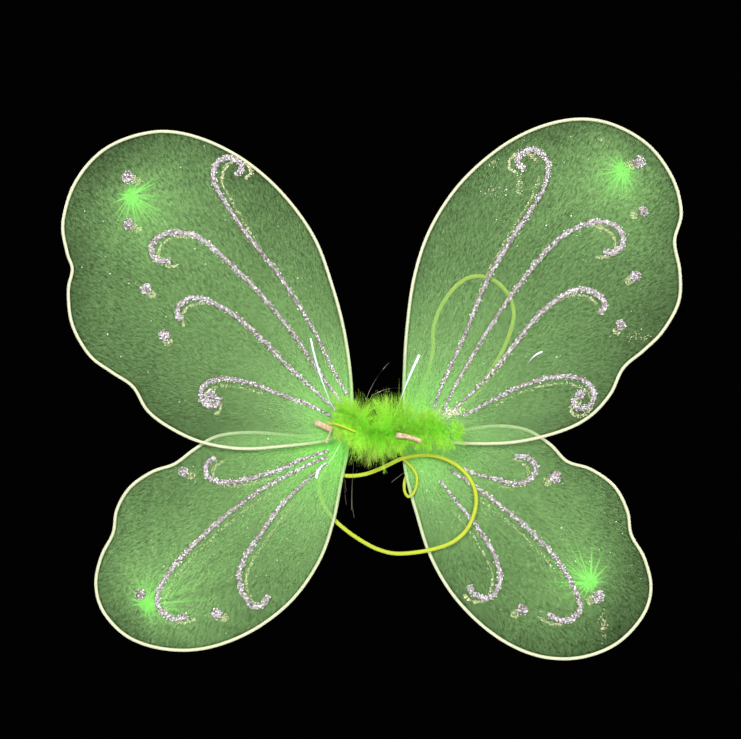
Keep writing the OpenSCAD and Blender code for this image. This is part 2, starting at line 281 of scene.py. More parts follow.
def front_outlines(node):
    """The outline in X and Z of the front face of each solid of a node, as ordered points."""
    mesh = cad_mesh(node)
    mesh.normal_update()
    faces = {f for f in mesh.faces if f.normal.y < -0.99}
    edges = {e for f in faces for e in f.edges if sum(g in faces for g in e.link_faces) == 1}
    left = {v for e in edges for v in e.verts}
    loops = []
    while left:
        loop = chain(next(iter(left)), lambda v: [e.other_vert(v) for e in v.link_edges if e in edges])
        left -= set(loop)
        loops.append(np.array([(v.co.x, v.co.z) for v in loop]))
    return sorted(loops, key=lambda loop: tuple(loop.mean(0)))


def islands(node):
    """The vertices of each separate solid of a node."""
    mesh = cad_mesh(node)
    left, found = set(mesh.verts), []
    while left:
        todo, seen = [next(iter(left))], set()
        while todo:
            v = todo.pop()
            if v not in seen:
                seen.add(v)
                todo += [e.other_vert(v) for e in v.link_edges]
        left -= seen
        found.append(np.array(sorted(tuple(v.co) for v in seen)))
    return sorted(found, key=lambda points: tuple(points.mean(0)))


def rod_ends(points):
    """The two ends of the middle line of a straight rod, from its vertices."""
    middle = points.mean(0)
    axis = np.linalg.svd(points - middle)[2][0]
    far = (points - middle) @ axis
    return middle + axis * far.min(), middle + axis * far.max()


# ---------------------------------------------------------------- materials


class Nodes:
    """A material's node tree, with short calls for what the materials here repeat."""

    def __init__(self, name):
        self.material = bpy.data.materials.new(name)
        self.material.use_nodes = True
        self.tree = self.material.node_tree
        self.tree.nodes.clear()

    def add(self, kind, values=(), **properties):
        """A node. values are (input, number, colour or socket) pairs."""
        node = self.tree.nodes.new("ShaderNode" + kind)
        for key, value in properties.items():
            setattr(node, key, value)
        for key, value in dict(values).items():
            if isinstance(value, bpy.types.NodeSocket):
                self.tree.links.new(value, node.inputs[key])
            else:
                node.inputs[key].default_value = value
        return node

    def math(self, operation, *values, clamp=False):
        return self.add("Math", enumerate(values), operation=operation, use_clamp=clamp).outputs[0]

    def plus(self, *values):
        return reduce(lambda a, b: self.math("ADD", a, b), values)

    def times(self, *values):
        return reduce(lambda a, b: self.math("MULTIPLY", a, b), values)

    def vector(self, operation, *values):
        node = self.add("VectorMath", enumerate(values), operation=operation)
        return node.outputs["Value" if operation in ("LENGTH", "DOT_PRODUCT") else "Vector"]

    def place(self):
        return self.add("TexCoord").outputs["Object"]

    def point(self, **values):
        return self.add("CombineXYZ", values).outputs[0]

    def tint(self):
        """The colour that a piece holds for each vertex."""
        return self.add("Attribute", attribute_name="tint").outputs["Color"]

    def noise(self, vector, scale, detail=2.0, roughness=0.5):
        values = {"Vector": vector, "Scale": scale, "Detail": detail, "Roughness": roughness}
        return self.add("TexNoise", values).outputs["Fac"]

    def ramp(self, value, *stops):
        """A colour ramp: stops are (position, colour) pairs."""
        node = self.add("ValToRGB", {"Fac": value})
        ramp = node.color_ramp
        while len(ramp.elements) < len(stops):
            ramp.elements.new(0.5)
        for element, (position, colour) in zip(ramp.elements, stops):
            element.position, element.color = position, (*colour, 1)
        return node.outputs["Color"]

    def range(self, value, low, high, to_low=0.0, to_high=1.0):
        values = {"Value": value, "From Min": low, "From Max": high, "To Min": to_low, "To Max": to_high}
        return self.add("MapRange", values).outputs["Result"]

    def vary(self, scale, low, high, detail=2.0):
        """A number between low and high that changes from place to place."""
        return self.range(self.noise(self.place(), scale, detail), 0.3, 0.7, low, high)

    def bump(self, height, strength, distance):
        bump = self.add("Bump", {"Height": height, "Strength": strength, "Distance": distance})
        return bump.outputs["Normal"]

    def surface(self, colour, roughness, bump=None, metallic=0.0, specular=0.5, sheen=0.0):
        values = {"Base Color": colour, "Roughness": roughness, "Metallic": metallic,
                  "Specular IOR Level": specular, "Sheen Weight": sheen}
        return self.add("BsdfPrincipled", values | ({"Normal": bump} if bump else {})).outputs[0]

    def mix(self, share, first, second):
        return self.add("MixShader", {0: share, 1: first, 2: second}).outputs[0]

    def finish(self, shader):
        self.add("OutputMaterial", {"Surface": shader})
        return self.material

    def finish_sheer(self, cover, cloth):
        """Cloth where cover is 1, and nothing where it is 0."""
        clear = self.add("BsdfTransparent", {"Color": (1, 1, 1, 1)}).outputs[0]
        return self.finish(self.mix(cover, clear, cloth))


def paint_material():
    """Cream paint on wire, a little uneven and rubbed."""
    n = Nodes("cream_wire")
    spots = n.noise(n.place(), 900, 4)
    colour = n.ramp(spots, (0.25, (0.42, 0.42, 0.25)), (0.5, (0.56, 0.57, 0.38)), (0.85, (0.64, 0.67, 0.48)))
    return n.finish(n.surface(colour, n.vary(300, 0.3, 0.5), n.bump(spots, 0.15, 0.0002)))


def steel_material():
    """Plain drawn wire, with fine marks along it."""
    n = Nodes("bare_wire")
    marks = n.noise(n.vector("MULTIPLY", n.place(), (900, 900, 200)), 1, 3)
    colour = n.ramp(marks, (0.3, (0.36, 0.35, 0.32)), (0.7, (0.66, 0.64, 0.6)))
    return n.finish(n.surface(colour, n.range(marks, 0.3, 0.7, 0.25, 0.45), n.bump(marks, 0.3, 0.0001), 0.9))


def thread_material():
    """Beige twisted thread: UVs run round and along it in millimetres."""
    n = Nodes("beige_thread")
    uv = n.add("TexCoord").outputs["UV"]
    along = n.vector("MULTIPLY", uv, (0.9, 0.55, 0))
    ply = n.add("TexWave", {"Vector": along, "Scale": 1.0, "Distortion": 0.6},
                bands_direction="DIAGONAL").outputs["Fac"]
    tone = n.times(ply, n.range(n.noise(n.place(), 750, 3, 0.7), 0.4, 0.6, 0.25, 1.0))
    colour = n.ramp(tone, (0.0, (0.34, 0.20, 0.11)), (0.3, (0.66, 0.46, 0.30)), (0.8, (0.98, 0.82, 0.61)))
    return n.finish(n.surface(colour, 0.75, n.bump(ply, 0.6, 0.00015), specular=0.2))


def elastic_material():
    """Braided cover of round elastic: UVs run round and along it in millimetres."""
    n = Nodes("braided_elastic")
    uv = n.add("SeparateXYZ", {"Vector": n.add("TexCoord").outputs["UV"]})
    across, along = uv.outputs["X"], uv.outputs["Y"]

    def strands(sign):
        slant = sign * 1.333  # how far round a strand goes for each millimetre along the cord
        return n.math("ABSOLUTE", n.math("SINE", n.times(n.plus(n.times(across, slant), along), pi)))

    weave = n.math("MAXIMUM", strands(1), strands(-1))
    fuzz = n.noise(n.place(), 2500, 3)
    tone = n.plus(n.times(weave, 0.75), n.times(fuzz, 0.35))
    colour = n.ramp(tone, (0.3, (0.17, 0.20, 0.006)), (0.7, (0.36, 0.43, 0.018)), (1.0, (0.49, 0.57, 0.035)))
    return n.finish(n.surface(colour, 0.6, n.bump(tone, 0.4, 0.0002), specular=0.3))


def nylon_material(wing):
    """Two sheer layers of stocking, denser and richer at the root and round the end.

    Only the back layer has the end.
    """
    n = Nodes(f"{wing.name}_sheer_nylon")
    spot = n.add("SeparateXYZ", {"Vector": n.place()})
    x, y, z = (spot.outputs[k] for k in "XYZ")
    on_back = n.math("GREATER_THAN", y, wing.plane)

    def polar(centre, seed):
        """How far a point is from centre, a random value for its direction, and that direction."""
        away = n.point(X=n.math("SUBTRACT", x, centre[0]), Y=n.math("SUBTRACT", z, centre[1]))
        heading = n.vector("NORMALIZE", away)
        shifted = n.vector("ADD", heading, (seed, seed * 0.7, 0))
        other_layer = n.point(Z=n.times(on_back, 3.7))
        return n.vector("LENGTH", away), n.vector("ADD", shifted, other_layer), heading

    def fade(distance, reach):
        return n.math("EXPONENT", n.math("DIVIDE", distance, -reach))

    # the blue share marks a band just inside the wire where the nylon is thinned into a painted shadow line
    shape = n.add("SeparateColor", {"Color": n.tint()})
    hem, core, shadow_gap = (shape.outputs[k] for k in ("Red", "Green", "Blue"))

    # folds that fan out of the root, which reach less far along the lower edge of the upper wings
    away, direction, heading = polar(wing.root, 1.3)
    root_folds = n.range(n.noise(direction, 16, 4, 0.65), 0.38, 0.62)
    low_reach = 0.74 if wing.name.startswith("upper") else 1.0
    stretch = n.range(n.vector("DOT_PRODUCT", heading, (0, 1, 0)), 0.1, 0.55, low_reach, 1.0)
    near_root, wide_root = fade(n.math("DIVIDE", away, stretch), 0.050), fade(away, 0.150)

    # the gathered end: bright in the middle, fading towards the root and soon gone the other way
    end_away, end_direction, end_heading = polar(wing.end, 5.1)
    rays = n.range(n.noise(end_direction, 6, 1, 0.5), 0.35, 0.7, 0.6, 1.3)
    to_root = Vector((*(wing.root - wing.end), 0)).normalized()
    lean = n.range(n.vector("DOT_PRODUCT", end_heading, tuple(to_root)), -1, 1, 0.3, 1.5)
    reach = n.math("DIVIDE", end_away, lean)
    star = n.plus(n.times(rays, fade(reach, 0.006), 0.4), n.times(fade(end_away, 0.0022), 1.9),
                  n.times(fade(reach, 0.013), 0.34))
    star = n.times(star, n.range(on_back, 0, 1, 0.2, 1.0))
    glow = n.times(fade(reach, 0.042), rays)

    # knit: fine wales that run out from the root
    knit = n.vector("ADD", n.vector("MULTIPLY", direction, (150, 150, 31)), n.point(Z=n.times(away, 310)))
    wales = n.noise(knit, 1, 1, 0.5)
    mottle = n.noise(n.place(), 650, 2, 0.6)
    blotch = n.noise(n.place(), 13, 2)

    cover = n.plus(n.times(near_root, n.range(root_folds, 0, 1, 0.66, 1.0)), 0.08, n.times(wide_root, 0.05),
                   n.times(core, 0.10), n.times(n.math("SUBTRACT", blotch, 0.5), 0.2), n.times(glow, 0.27))
    cover = n.times(cover, n.range(near_root, 0, 0.6, wing.knit_density, 1.0))
    grain = n.times(n.range(wales, 0.3, 0.7, 0.4, 1.6), n.range(mottle, 0.25, 0.75, 0.75, 1.25))
    cover = n.plus(n.times(cover, grain), n.times(star, 0.6))
    far = n.math("SUBTRACT", 1.0, near_root)
    cover = n.times(cover, n.range(n.times(hem, far), 0, 1, 1.0, 0.1))
    # painted shadow: the nylon just inside the wire is thinned so that a dark line shows there
    cover = n.math("MULTIPLY", cover, n.range(n.times(shadow_gap, far), 0, 1, 1.0, 0.55), clamp=True)
    cover = n.math("MINIMUM", cover, 0.97)

    rich = n.plus(n.times(near_root, wing.root_rich), n.times(wide_root, 0.12), n.times(glow, 0.3))
    rich = n.math("ADD", rich, star, clamp=True)
    colour = n.ramp(rich, (0.0, (0.25, 0.45, 0.165)), (0.3, (0.27, 0.52, 0.170)), (0.65, (0.27, 0.69, 0.14)),
                    (1.0, (0.22, 0.95, 0.12)))
    bump = n.bump(n.plus(wales, n.times(root_folds, near_root)), 0.3, 0.0003)
    through = n.add("BsdfTranslucent", {"Color": colour, "Normal": bump}).outputs[0]
    return n.finish_sheer(cover, n.mix(0.25, n.surface(colour, 0.6, bump, specular=0.15), through))


def pleat_material():
    """The sharp folds round a gathered end: bright nylon that thins out along each fold."""
    n = Nodes("nylon_pleats")
    strength = n.add("SeparateColor", {"Color": n.tint()}).outputs[0]
    tone = n.noise(n.place(), 300, 2)
    cover = n.math("MULTIPLY", strength, n.range(tone, 0.3, 0.7, 0.9, 1.1), clamp=True)
    colour = n.ramp(tone, (0.3, (0.22, 0.92, 0.12)), (0.7, (0.32, 1.0, 0.2)))
    return n.finish_sheer(cover, n.surface(colour, 0.5, specular=0.2))


def gathered_material():
    """The same nylon where many layers are gathered: solid, bright and pleated."""
    n = Nodes("gathered_nylon")
    streaks = n.noise(n.vector("MULTIPLY", n.place(), (700, 500, 700)), 1, 4, 0.65)
    colour = n.ramp(streaks, (0.3, (0.07, 0.42, 0.03)), (0.55, (0.16, 0.74, 0.07)), (0.8, (0.36, 0.95, 0.22)))
    return n.finish(n.surface(colour, 0.5, n.bump(streaks, 0.5, 0.0003), sheen=0.3))


def glue_material():
    """Dried glitter glue: a clear bead that is full of fine specks."""
    n = Nodes("glitter_glue")
    specks = n.add("TexVoronoi", {"Vector": n.place(), "Scale": 1500}, feature="F1")
    shade = n.add("SeparateColor", {"Color": specks.outputs["Color"]}).outputs[0]
    colour = n.ramp(shade, (0.0, (0.06, 0.055, 0.045)), (0.4, (0.16, 0.13, 0.11)), (0.75, (0.30, 0.26, 0.25)),
                    (1.0, (0.62, 0.58, 0.62)))
    return n.finish(n.surface(colour, 0.4, n.bump(shade, 0.6, 0.0003)))


def flake_material(name, metallic):
    """Loose glitter: each flake has a tint of its own, which is a painted glint where the tint is white."""
    n = Nodes(name)
    dust = n.vary(4000, 0.85, 1.1)
    colour = n.vector("MULTIPLY", n.tint(), n.point(X=dust, Y=dust, Z=dust))
    return n.finish(n.surface(colour, n.vary(1800, 0.2, 0.45), metallic=metallic))


def down_material():
    """Marabou down: fine barbs that light shines through, each with its own tint."""
    n = Nodes("marabou_down")
    tone = n.vary(350, 0.8, 1.15, 3)
    colour = n.vector("MULTIPLY", n.tint(), n.point(X=tone, Y=tone, Z=tone))
    glow = n.add("BsdfTranslucent", {"Color": colour}).outputs[0]
    return n.finish(n.mix(0.4, n.surface(colour, 0.7, specular=0.1), glow))


def tinsel_material():
    """Iridescent film: pale, with bands of blue, pink and green along each strand."""
    n = Nodes("iridescent_film")
    bands = n.noise(n.place(), 160, 2)
    colour = n.ramp(bands, (0.3, (0.55, 0.68, 0.98)), (0.42, (0.88, 0.92, 1.0)), (0.52, (0.95, 0.84, 0.95)),
                    (0.62, (0.80, 0.98, 0.86)), (0.75, (0.94, 0.96, 1.0)))
    colour = n.vector("MULTIPLY", colour, n.tint())
    return n.finish(n.surface(colour, n.vary(900, 0.2, 0.35), metallic=0.2))


def floor_material():
    n = Nodes("pale_floor")
    tone = n.vary(3, 0.72, 0.76, 3)
    return n.finish(n.surface(n.point(X=tone, Y=tone, Z=tone), 0.8))


def make_floor():
    mesh = bmesh.new()
    bmesh.ops.create_circle(mesh, cap_ends=True, radius=FLOOR_R, segments=96)
    data = bpy.data.meshes.new("floor")
    mesh.to_mesh(data)
    data.materials.append(floor_material())
    floor = new_object("floor", data)
    floor.location.z = FLOOR_Z


# ---------------------------------------------------------------- elastic

# The routes of the free elastic, in millimetres, as in the CAD model
LEFT_LOOP_ROUTE = [
    (-6, 7, -2), (-12, 8.5, -6), (-21, 8.5, -11), (-31, 8, -17), (-37, 7.5, -26), (-33, 7.5, -33),
    (-25, 7, -35), (-17, 6, -35), (-7, 4.5, -33), (5, 1.2, -28), (17, -2.3, -22), (26, -2.3, -20),
    (36, -1.6, -19), (48, -1, -21), (60, -0.8, -27), (69, -0.8, -36), (74, -0.8, -47),
    (74, -0.8, -60), (68, -0.8, -75), (57, -0.8, -85), (44, -0.8, -90), (29, -0.5, -93),
    (13, 1, -94), (0, 3, -91), (-12, 5, -85), (-24, 7, -77), (-34, 7.5, -68), (-42, 7.5, -56),
    (-45, 7.5, -42), (-41, 8, -29), (-30, 9, -14), (-18, 10, -3), (-6, 7, 2),
]
RIGHT_LOOP_ROUTE = [
    (22, 10, 2), (25, 9.5, 10), (29, 6, 20), (34, 2.5, 33), (39, 0.6, 48), (42, 0.4, 62),
    (42, 0.4, 76), (47, 0.4, 92), (57, 0.4, 107), (67, 0.4, 115), (77, 0.4, 117), (88, 0.4, 114),
    (97, 0.4, 106), (102, 0.4, 96), (103, 0.4, 84), (97, 0.4, 65), (86, 0.4, 45), (73, 0.4, 26),
    (59, 2, 15), (46, 5.5, 9), (34, 9, 4), (24, 10, 0),
]
TAIL_ROUTE = [
    (15.5, -12.5, -4), (15, -9.5, -8), (15.3, -5.5, -11.8), (16.6, -1.8, -15.4), (18.4, 0.3, -19.2),
    (20.2, 0.4, -22.9), (23.3, 0.5, -25.9), (27, 0.6, -30), (29.1, 0.6, -34.1), (29.7, 0.6, -38.2),
    (29.1, 0.6, -42.9), (27.7, 0.6, -46.6), (25.7, 0.5, -49.4), (23.3, 0.5, -50.7), (21.3, 1.2, -49),
    (20.2, 2.6, -45.9), (20, 4.2, -42.2), (20.5, 5.6, -38.7), (21.6, 6.4, -35.5),
]
LOOP_D, TAIL_D = 3.0 * MM, 2.2 * MM
KNOT_R = 1.25 * MM  # half as thick as the loops, pulled tight


def free_elastic(name, route, diameter, material):
    line = smooth_route(np.array(route) * MM, 8)
    piece = new_piece(name, tube(line, diameter / 2, 14), material)
    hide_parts(name)
    print(f"{name}: {route_length(line):.4f} m along its route")
    return piece


def knot(name, node, body, material):
    """A tight overhand knot the size of its CAD node: a trefoil of the loop's elastic."""
    middle, half = middle_half(node)
    t = np.linspace(0, 2 * pi, 97)
    flat = np.stack([np.sin(t) + 2 * np.sin(2 * t), -np.sin(3 * t), np.cos(t) - 2 * np.cos(2 * t)], 1)
    size = np.array([(half[0] - KNOT_R / 2) / 3, half[1] - KNOT_R, (half[2] - KNOT_R / 2) / 3])
    line = middle + flat * size
    return put(name, tube(line, KNOT_R, 10), material, body, [node], "elastic")


# ---------------------------------------------------------------- thread

# How thick the thread is at the windings, the centre, the lashings and the gathered ends
WINDING_THREAD, BINDING_THREAD, LASHING_THREAD, TIE_THREAD = 0.85 * MM, 0.7 * MM, 0.6 * MM, 0.4 * MM
WINDING_R = 2.0  # in millimetres
FIBRES = 110  # on each winding


def coil(line, radius, thread_d, rng, lean=0.0, rough=0.16):
    """A close winding of thread round a line of points. radius is one value, or one for each point.

    lean and rough are how far each turn lies aslant and how uneven the turns are, in thread thicknesses.
    """
    line = np.array(line, float)
    radius = np.broadcast_to(radius, len(line)).astype(float)
    gone = steps_along(line)
    turns = max(2, int(gone[-1] / thread_d))
    steps = 16
    at = np.linspace(0, gone[-1], turns * steps + 1)
    middle = np.stack([np.interp(at, gone, line[:, k]) for k in range(3)], 1)
    reach = np.interp(at, gone, radius)
    h = headings(middle)
    side = np.cross(h, (0.2, 0.3, 0.93))
    side /= lengths(side)[:, None]
    up = np.cross(h, side)
    uneven = [rng.uniform(-rough, rough) * thread_d for _ in range(turns + 2)]
    route = []
    for i in range(len(at)):
        turn = 2 * pi * i / steps
        out = reach[i] + np.interp(i / steps, range(turns + 2), uneven)
        route.append(middle[i] + h[i] * lean * thread_d * sin(turn)
                     + out * (cos(turn) * side[i] + sin(turn) * up[i]))
    return tube(route, thread_d * 0.52, 6)


def winding(name, node, body, material, seed, bow, taper):
    """A short thread winding: two coils over each other on a bowed line, and a few fibres that stick out."""
    rng = random.Random(seed)
    start, end = sorted(rod_ends(islands(node)[0]), key=lambda end: end[0])
    line = smooth_route([start, (start + end) / 2 + np.array([0, 0, bow * MM]), end], 10)[1:-1]
    outer = np.linspace(WINDING_R, WINDING_R * taper, len(line)) * MM
    parts = [coil(line, outer - WINDING_THREAD * 0.8, WINDING_THREAD, rng, 0.2),
             coil(line[1:-1], outer[1:-1], WINDING_THREAD, rng, 0.9, 0.4)]
    for _ in range(FIBRES):
        i = rng.randrange(len(line))
        out = np.array([rng.gauss(0, 1), -abs(rng.gauss(0, 0.7)), rng.gauss(0, 1)])
        out /= np.linalg.norm(out)
        tip = line[i] + out * outer[i] * rng.uniform(1.2, 1.7)
        tip = tip + np.array([rng.gauss(0, 0.5) for _ in range(3)]) * MM
        fibre = smooth_route([line[i] + out * outer[i] * 0.9, (line[i] + tip) / 2 + out * 0.9 * MM, tip], 4)
        parts.append(tube(fibre, np.linspace(0.11, 0.05, len(fibre)) * MM, 4))
    return put(name, join(parts), material, body, [node], "thread")


# ---------------------------------------------------------------- wings


def inward(line, distance):
    """The closed or open outline moved towards the wing's inside, in X and Z."""
    h = headings(line)
    area = 0.5 * np.sum(line[:, 0] * np.roll(line[:, 1], -1) - np.roll(line[:, 0], -1) * line[:, 1])
    sign = 1 if area > 0 else -1
    return line + sign * distance * np.stack([-h[:, 1], h[:, 0]], 1)


class Wing:
    """What the pieces of one wing share, read from its CAD nodes."""

    def __init__(self, name):
        self.name = name
        self.body = f"{name}_wing"
        self.side = -1 if "left" in name else 1
        self.line = smooth_route(wire_line(name), 2)
        self.plane = float(self.middle_half("wire")[0][1])
        self.root = self.middle_half("root_gather")[0][[0, 2]]
        self.end = self.middle_half("end_gather")[0][[0, 2]]
        self.layer = float(self.middle_half("nylon")[1][1])
        self.pleat_reach, self.knit_density, self.root_rich = WINGS[name]

    def middle_half(self, node):
        return middle_half(f"{self.name}_{node}")

    def put(self, kind, shape, material, nodes, slot, **looks):
        """A piece of this wing. Its name and those of its CAD nodes start with the wing's."""
        nodes = [f"{self.name}_{node}" for node in nodes]
        return put(f"{self.name}_{kind}", shape, material, self.body, nodes, slot, **looks)


HEM = 1.42 * MM  # from the wire's middle to the outside of the nylon over it
ROOT_CUT = 5.6 * MM  # where the sheet ends in the gathered root
HEM_RINGS = np.array([0.25, 0.75, 1.42, 2.1, 2.7, 3.4, 4.5]) * MM
ROOT_STEPS = np.array([0.06, 0.09, 0.125, 0.17, 0.22, 0.28, 0.35, 0.43, 0.52, 0.61, 0.7, 0.79, 0.87, 0.94])
STAR_RINGS = np.array([1.5, 3, 5, 7.5, 10.5, 14, 18, 23, 29]) * MM
WIRE_R = 1.2 * MM
SEAM = 1e-6  # points closer than this to the outline lie on it
PLEATS = 17
PLEAT_SPREAD = 2.6  # how far the outermost folds turn away from the root's direction


def away_from(points, outline):
    """How far each point is from the nearest stretch of an open outline."""
    a, b = outline[:-1], outline[1:]
    ab = b - a
    share = np.clip(np.einsum("pij,ij->pi", points[:, None] - a, ab) / (ab**2).sum(1), 0, 1)
    return np.linalg.norm(points[:, None] - (a + share[..., None] * ab), axis=2).min(1)


def sheet_points(wing):
    """Points in X and Z of one layer, how many of them are the outline, and its part over the wire."""
    outer = inward(wing.line, -HEM)
    outer = outer[lengths(outer - wing.root) > ROOT_CUT]
    angles = np.arctan2(outer[[-1, 0], 1] - wing.root[1], wing.side * (outer[[-1, 0], 0] - wing.root[0]))
    arc = np.linspace(angles[0], angles[1], 26)[1:-1]
    arc = wing.root + ROOT_CUT * np.stack([wing.side * np.cos(arc), np.sin(arc)], 1)
    outline = np.vstack([outer, arc])
    rings = [inward(wing.line, distance - HEM) for distance in HEM_RINGS]
    fan = [wing.root + (wing.line[::2] - wing.root) * share for share in ROOT_STEPS]
    turns = np.arange(56) * 2 * pi / 56
    star = [wing.end + r * np.stack([np.cos(turns + r * 40), np.sin(turns + r * 40)], 1) for r in STAR_RINGS]
    loose = np.vstack(fan + star)
    loose = loose[away_from(loose, outer) > HEM_RINGS[-1] + 1.2 * MM]
    points = np.vstack(rings + [loose])
    points = points[lengths(points - wing.root) > ROOT_CUT + 0.8 * MM]
    return np.vstack([outline, points]), len(outline), outer


def make_nylon(wing, seed):
    """The stocking over a wing's wire: a front and a back layer that meet round the outside of the wire."""
    points, rim, outer = sheet_points(wing)
    points = [Vector(p) for p in points]
    flat, _, faces, *_ = geometry.delaunay_2d_cdt(points, [], [list(range(rim))], 1, 1e-7)
    flat = np.array(flat)
    inside = away_from(flat, outer)
    from_root = lengths(flat - wing.root)
    on_rim = (inside < SEAM) | (from_root < ROOT_CUT + SEAM)
    round_wire = np.sqrt(np.maximum(HEM**2 - np.maximum(HEM - inside, 0) ** 2, 0))
    relaxed = wing.layer - 0.1 * MM
    off_wire = relaxed + (HEM - relaxed) * np.exp(-(inside - HEM) / (2.5 * MM))
    height = np.where(inside < HEM, round_wire, off_wire)
    height += 1.1 * MM * np.exp(-(from_root - ROOT_CUT) / (6 * MM))
    calm = np.clip((inside - HEM) / (5 * MM), 0, 1)
    verts, both_faces, shares, index = [], [], [], {}
    for layer in (FRONT, BACK):
        for i, (x, z) in enumerate(flat):
            if on_rim[i] and layer == BACK:
                index[layer, i] = index[FRONT, i]
                continue
            away = Vector((x - wing.root[0], z - wing.root[1], 0))
            heading = away.normalized()
            fold = noise.noise(heading * 13 + Vector((seed, layer, 0)))
            fold += 0.5 * noise.noise(heading * 29 + Vector((layer, seed, 0)))
            lift = 0.6 * MM * fold * exp(-away.length / 0.045)
            lift += 0.35 * MM * noise.noise(Vector((x, z, layer * 0.3 + seed)) * 22)
            if layer == BACK:
                to_end = Vector((x - wing.end[0], z - wing.end[1], 0))
                if to_end.length > 0:
                    ray = noise.noise(to_end.normalized() * 6 + Vector((seed, 3, 0)))
                    lift += 0.7 * MM * ray * exp(-to_end.length / 0.014) * min(1, to_end.length / 0.002)
                    lift += 1.0 * MM * exp(-to_end.length / 0.005)
            rise = 0 if on_rim[i] else max(height[i] + lift * calm[i], 0.25 * height[i])
            index[layer, i] = len(verts)
            verts.append((x, wing.plane + layer * rise, z))
            over_wire = clamp(1 - (inside[i] - HEM) / (1.6 * MM))
            # the band just inside the wire where the nylon is thinned into a painted shadow line
            shadow_beside_wire = max(0, 1 - abs(inside[i] - 3.2 * MM) / (1.2 * MM))
            shares.append((over_wire, 1 - exp(-inside[i] / 0.03), shadow_beside_wire, 1))
        for face in faces:
            corners = [index[layer, i] for i in face]
            both_faces.append(corners if layer == FRONT else corners[::-1])
    piece = wing.put("stocking", (verts, both_faces, []), nylon_material(wing), ["nylon"], "sheer_nylon",
                     tints=shares, fix=True)
    return piece


def make_wire(wing, material):
    line = np.insert(wing.line, 1, wing.plane, axis=1)
    wing.put("hoop", tube(line, WIRE_R, 12), material, ["wire"], "wing_wire")


def make_root_gather(wing, material, seed):
    """The stocking's mouth, scrunched into a pleated ring round the lashing."""
    middle, half = wing.middle_half("root_gather")
    rng = random.Random(seed)
    rows, across = 132, 14
    ring_r, fat = 4.15 * MM, 1.85 * MM
    phase = [rng.uniform(0, 6.28) for _ in range(3)]
    verts = []
    for i in range(rows):
        a = 2 * pi * i / rows
        pleat = 0.16 * sin(15 * a + phase[0]) + 0.1 * sin(23 * a + phase[1])
        pleat += 0.06 * sin(41 * a + phase[2])
        for k in range(across):
            b = 2 * pi * k / across
            r = fat * (1 + pleat * (0.6 + 0.4 * cos(b)))
            out = ring_r + r * cos(b)
            rise = min(half[1], r * 1.12) * sin(b)
            verts.append(middle + np.array([out * cos(a), rise, out * sin(a)]))
    shape = verts, grid(rows, across, closed=True, ring=True), []
    wing.put("scrunched_root", shape, material, ["root_gather"], "gathered_nylon", fix=True)


# The tuft of a gathered end: radius and height of each row, in millimetres, from the sheet to the
# middle of the top
TUFT = [(5.2, 0.05), (3.4, 0.5), (2.2, 1.3), (1.6, 2.3), (1.5, 3.2), (2.1, 4.1), (2.9, 4.9), (3.4, 5.7), (3.0, 6.0),
        (1.6, 5.2), (0.4, 4.7)]


def make_end_gather(wing, nylon, thread, seed):
    """The closed end of the stocking: a pleated tuft on the back layer, tied with thread."""
    base_y = cad_box(f"{wing.name}_end_gather")[0][1]
    rng = random.Random(seed)
    across = 96
    verts = []
    phase = [rng.uniform(0, 6.28) for _ in range(3)]
    for r, h in TUFT:
        for i in range(across):
            a = 2 * pi * i / across
            pleat = 1 + 0.13 * sin(11 * a + phase[0]) + 0.09 * sin(19 * a + phase[1])
            ragged = 0.35 * sin(7 * a + phase[2]) * max(0, (h - 3.5) / 2.5)
            verts.append((wing.end[0] + r * pleat * cos(a) * MM, base_y + (h + ragged) * MM * 0.97,
                          wing.end[1] + r * pleat * sin(a) * MM))
    faces = grid(len(TUFT), across, closed=True) + [tuple(range(len(verts) - across, len(verts)))]
    wing.put("gathered_end", (verts, faces, []), nylon, ["end_gather"], "gathered_nylon", fix=True)
    middle = wing.middle_half("end_tie")[0]
    line = [middle - (0, 0.7 * MM, 0), middle + (0, 0.7 * MM, 0)]
    wing.put("end_thread", coil(line, 1.85 * MM, TIE_THREAD, rng, 0.3), thread, ["end_tie"], "thread")


def make_pleats(wing, material, seed):
    """Sharp straight folds that fan out from the gathered end, most and longest towards the root."""
    rng = random.Random(seed)
    to_root = wing.root - wing.end
    middle = atan2(to_root[1], to_root[0])
    back = wing.plane + wing.layer - 0.95 * MM
    verts, faces, tints = [], [], []
    steps = 6
    for number in range(PLEATS):
        turn = PLEAT_SPREAD * ((number + rng.uniform(0.15, 0.85)) / PLEATS * 2 - 1)
        turn *= 0.45 + 0.55 * abs(turn) / PLEAT_SPREAD
        lean = 0.5 + 0.5 * cos(turn)
        length = (11 + wing.pleat_reach * lean**1.5 * rng.uniform(0.4, 1)) * MM
        wide, bright = rng.uniform(0.5, 1.1) * MM, rng.uniform(0.55, 1.0)
        along = np.array([cos(middle + turn), sin(middle + turn)])
        across = np.array([-along[1], along[0]])
        start = len(verts)
        for i in range(steps + 1):
            t = i / steps
            x, z = wing.end + along * (1.5 * MM + length * t)
            half = wide * (1 - 0.6 * t)
            for shift, rise in ((-half, 0.0), (0.0, 0.22 * MM * (1 - t)), (half, 0.0)):
                verts.append((x + across[0] * shift, back - rise, z + across[1] * shift))
                edge = 1.0 if shift == 0 else 0.55
                tints.append((bright * edge * (1 - t) ** 0.75, 0, 0, 1))
        faces += grid(steps + 1, 3, start)
    wing.put("end_pleats", (verts, faces, []), material, (), "sheer_nylon", tints=tints)
